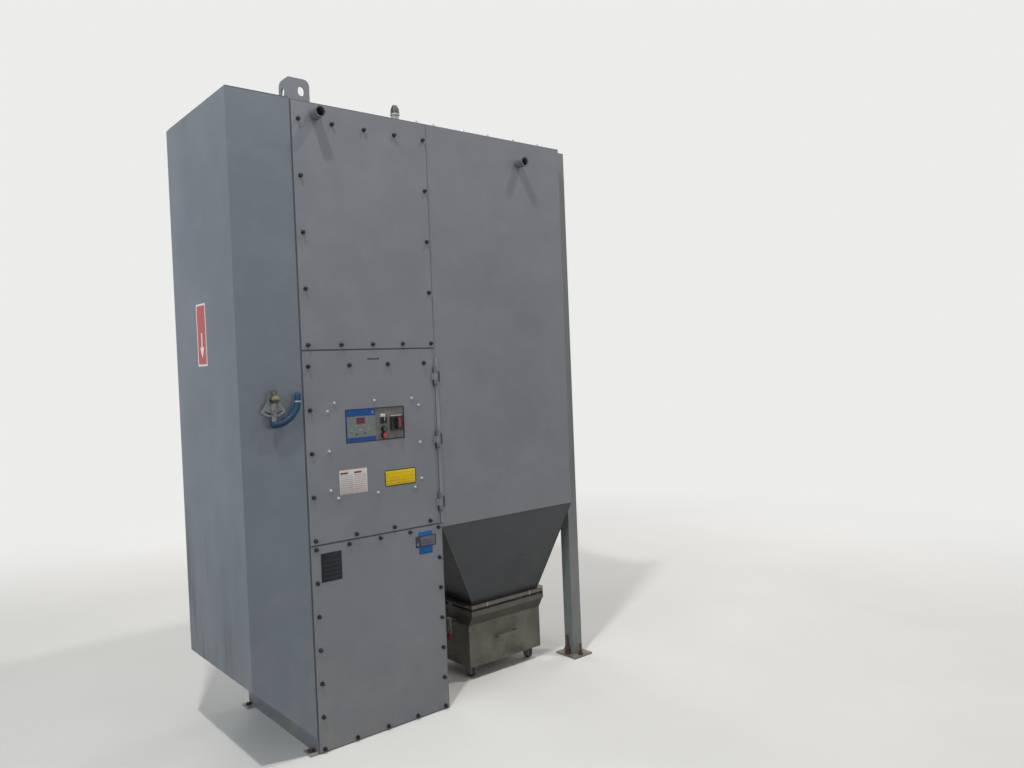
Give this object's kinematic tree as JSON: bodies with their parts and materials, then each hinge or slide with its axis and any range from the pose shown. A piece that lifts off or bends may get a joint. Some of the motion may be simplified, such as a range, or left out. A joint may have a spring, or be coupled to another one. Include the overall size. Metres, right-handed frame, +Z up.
{
  "type": "cartridge dust collector",
  "caption": "Tall grey cartridge dust and fume collector with a fan column and control door, a hopper over a rolling dust bin, and an overhanging exhaust plenum with a damper lever.",
  "frame": {"origin": "on the floor under the middle of the bounding box", "axes": "+Z up, the front with the control door faces -Y, +X to the right seen from the front"},
  "size_m": [1.92, 0.87, 2.8403],
  "materials": {
    "grey_paint": "blue-grey powder coat, satin, lightly soiled",
    "dark_steel": "dark paint, satin",
    "galvanised": "dull zinc coat",
    "bin_zinc": "zinc coat dulled by dust",
    "bright_steel": "bright",
    "black_rubber": "matt",
    "black_plastic": "matt",
    "panel_plastic": "membrane keypad",
    "red_plastic": "semi-gloss",
    "green_plastic": "semi-gloss",
    "blue_sleeve": "dipped vinyl",
    "filter_media": "pleated",
    "motor_paint": "enamel"
  },
  "bodies": {
    "cabinet": {"fan_column_casing": "grey_paint", "column_base_frame": "dark_steel", "upper_access_panel": "grey_paint", "lower_access_panel": "grey_paint", "exhaust_plenum": "grey_paint", "outlet_grille": "grey_paint", "damper_sector_plate": "galvanised", "filter_housing": "grey_paint", "tube_sheet": "galvanised", "cartridge_front_1": "filter_media", "cartridge_front_2": "filter_media", "cartridge_front_3": "filter_media", "cartridge_back_1": "filter_media", "cartridge_back_2": "filter_media", "cartridge_back_3": "filter_media", "inlet_collar": "galvanised", "filter_door_hinge_rail": "dark_steel", "fan_inlet_ring": "galvanised", "fan_motor": "motor_paint", "motor_stand": "dark_steel", "air_manifold": "galvanised", "air_supply_fitting": "dark_steel", "lifting_lug_front": "grey_paint", "lifting_lug_back": "grey_paint", "front_pipe_stub_left": "galvanised", "front_pipe_stub_right": "galvanised", "support_leg_front": "grey_paint", "support_leg_back": "grey_paint", "hopper": "grey_paint", "hopper_outlet_frame": "grey_paint", "bin_seal": "black_rubber", "control_door_hinge_rail": "grey_paint"},
    "control_door": {"control_door": "grey_paint", "control_plate": "grey_paint", "controller_panel": "panel_plastic", "electrical_box": "grey_paint", "disconnect_base": "black_plastic"},
    "damper": {"damper_blade": "galvanised", "damper_lever_arm": "galvanised", "damper_grip": "blue_sleeve"},
    "filter_door": {"filter_service_door": "grey_paint"},
    "filter_latch_1": {"filter_door_latch_1": "black_plastic"},
    "filter_latch_2": {"filter_door_latch_2": "black_plastic"},
    "fan_rotor": {"fan_impeller": "galvanised"},
    "bin": {"dust_bin": "bin_zinc"},
    "fork_front_left": {"caster_fork_front_left": "galvanised"},
    "wheel_front_left": {"caster_wheel_front_left": "black_rubber"},
    "fork_front_right": {"caster_fork_front_right": "galvanised"},
    "wheel_front_right": {"caster_wheel_front_right": "black_rubber"},
    "fork_back_left": {"caster_fork_back_left": "galvanised"},
    "wheel_back_left": {"caster_wheel_back_left": "black_rubber"},
    "fork_back_right": {"caster_fork_back_right": "galvanised"},
    "wheel_back_right": {"caster_wheel_back_right": "black_rubber"},
    "clamp_left": {"clamp_lever_left": "bright_steel"},
    "clamp_right": {"clamp_lever_right": "bright_steel"},
    "selector": {"selector_knob": "black_plastic"},
    "start": {"start_button": "green_plastic"},
    "stop": {"stop_button": "red_plastic"},
    "disconnect": {"disconnect_handle": "red_plastic"}
  },
  "joints": [
    {"name": "control_door_hinge", "type": "hinge", "parent": "cabinet", "child": "control_door", "pos_m": [-0.026, -0.3883, 1.292], "axis": [0, 0, 1], "range_deg": [0, 105]},
    {"name": "damper_turn", "type": "hinge", "parent": "cabinet", "child": "damper", "pos_m": [-0.825, -0.375, 1.509], "axis": [0, 1, 0], "range_deg": [-35, 35]},
    {"name": "filter_door_hinge", "type": "hinge", "parent": "cabinet", "child": "filter_door", "pos_m": [0.78, 0.4003, 1.81], "axis": [0, 0, -1], "range_deg": [0, 105]},
    {"name": "filter_latch_1_turn", "type": "hinge", "parent": "filter_door", "child": "filter_latch_1", "pos_m": [0.0903, 0.4006, 1.405], "axis": [0, -1, 0], "range_deg": [0, 90]},
    {"name": "filter_latch_2_turn", "type": "hinge", "parent": "filter_door", "child": "filter_latch_2", "pos_m": [0.0903, 0.4006, 2.215], "axis": [0, -1, 0], "range_deg": [0, 90]},
    {"name": "fan_spin", "type": "hinge", "parent": "cabinet", "child": "fan_rotor", "pos_m": [-0.3525, 0, 0.6767], "axis": [0, 0, 1], "continuous": true},
    {"name": "bin_slide", "type": "slide", "parent": "cabinet", "child": "bin", "axis": [0, -1, 0], "range_m": [0, 0.75]},
    {"name": "swivel_front_left", "type": "hinge", "parent": "bin", "child": "fork_front_left", "pos_m": [0.29103, -0.152, 0.0666], "axis": [0, 0, 1], "continuous": true},
    {"name": "roll_front_left", "type": "hinge", "parent": "fork_front_left", "child": "wheel_front_left", "pos_m": [0.29103, -0.138, 0.027], "axis": [1, 0, 0], "continuous": true},
    {"name": "swivel_front_right", "type": "hinge", "parent": "bin", "child": "fork_front_right", "pos_m": [0.67894, -0.152, 0.0666], "axis": [0, 0, 1], "continuous": true},
    {"name": "roll_front_right", "type": "hinge", "parent": "fork_front_right", "child": "wheel_front_right", "pos_m": [0.67894, -0.138, 0.027], "axis": [1, 0, 0], "continuous": true},
    {"name": "swivel_back_left", "type": "hinge", "parent": "bin", "child": "fork_back_left", "pos_m": [0.29103, 0.152, 0.0666], "axis": [0, 0, 1], "continuous": true},
    {"name": "roll_back_left", "type": "hinge", "parent": "fork_back_left", "child": "wheel_back_left", "pos_m": [0.29103, 0.166, 0.027], "axis": [1, 0, 0], "continuous": true},
    {"name": "swivel_back_right", "type": "hinge", "parent": "bin", "child": "fork_back_right", "pos_m": [0.67894, 0.152, 0.0666], "axis": [0, 0, 1], "continuous": true},
    {"name": "roll_back_right", "type": "hinge", "parent": "fork_back_right", "child": "wheel_back_right", "pos_m": [0.67894, 0.166, 0.027], "axis": [1, 0, 0], "continuous": true},
    {"name": "clamp_left_turn", "type": "hinge", "parent": "bin", "child": "clamp_left", "pos_m": [0.20773, -0.082, 0.3106], "axis": [0, 1, 0], "range_deg": [0, 120]},
    {"name": "clamp_right_turn", "type": "hinge", "parent": "bin", "child": "clamp_right", "pos_m": [0.76224, -0.082, 0.3106], "axis": [0, -1, 0], "range_deg": [0, 120]},
    {"name": "selector_turn", "type": "hinge", "parent": "control_door", "child": "selector", "pos_m": [-0.30808, -0.3753, 1.38605], "axis": [0, 1, 0], "range_deg": [-45, 45]},
    {"name": "start_press", "type": "slide", "parent": "control_door", "child": "start", "axis": [0, 1, 0], "range_m": [0, 0.003], "stiffness_N_per_m": 300},
    {"name": "stop_press", "type": "slide", "parent": "control_door", "child": "stop", "axis": [0, 1, 0], "range_m": [0, 0.003], "stiffness_N_per_m": 300},
    {"name": "disconnect_turn", "type": "hinge", "parent": "control_door", "child": "disconnect", "pos_m": [-0.24211, -0.3876, 1.36803], "axis": [0, 1, 0], "range_deg": [0, 90]}
  ]
}
